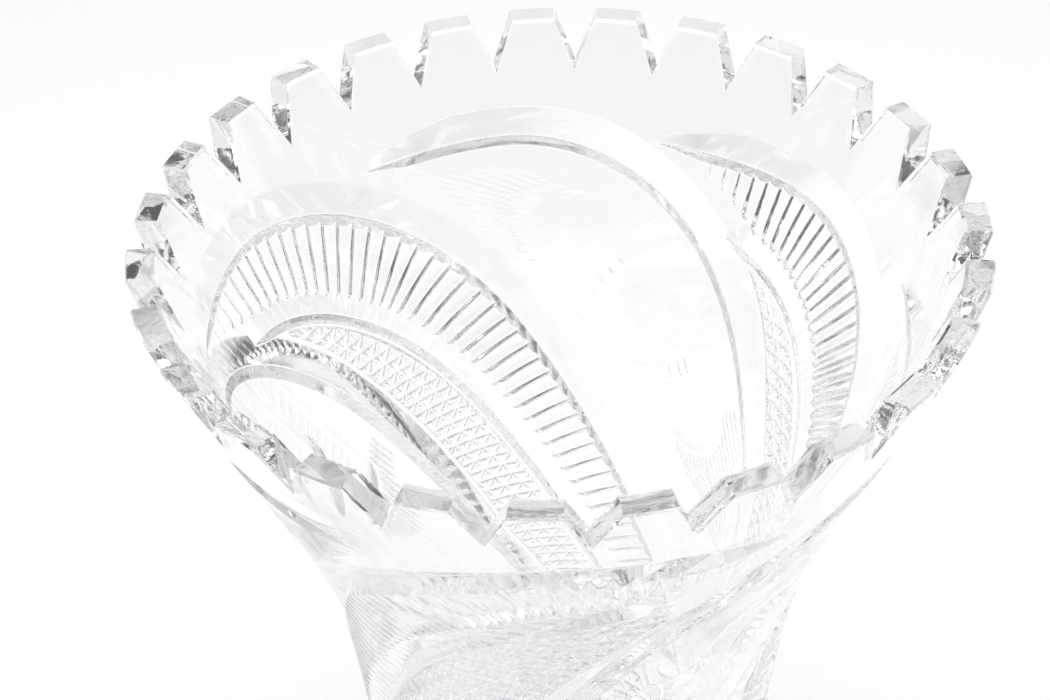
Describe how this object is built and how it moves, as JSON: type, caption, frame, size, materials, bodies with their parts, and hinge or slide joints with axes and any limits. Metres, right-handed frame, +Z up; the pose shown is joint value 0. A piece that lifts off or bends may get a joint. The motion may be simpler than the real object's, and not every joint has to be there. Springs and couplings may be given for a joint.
{
  "type": "cut crystal vase",
  "caption": "Flared crystal flower vase with a V-notched rim, swirl cuts round the wall, round polished prints and a joined disc foot.",
  "frame": {"origin": "centre of the flat ring under the foot, on the surface that the vase stands on", "axes": "+Z up along the vase's axis, out through the mouth; +X through the middle of one rim tooth; +Y makes the frame right-handed"},
  "size_m": [0.1498, 0.15, 0.25],
  "materials": {
    "crystal": "clear polished lead crystal, with acid-polished cuts that keep a faint grind grain"
  },
  "bodies": {
    "root": {"body": "crystal", "foot": "crystal"}
  },
  "joints": []
}
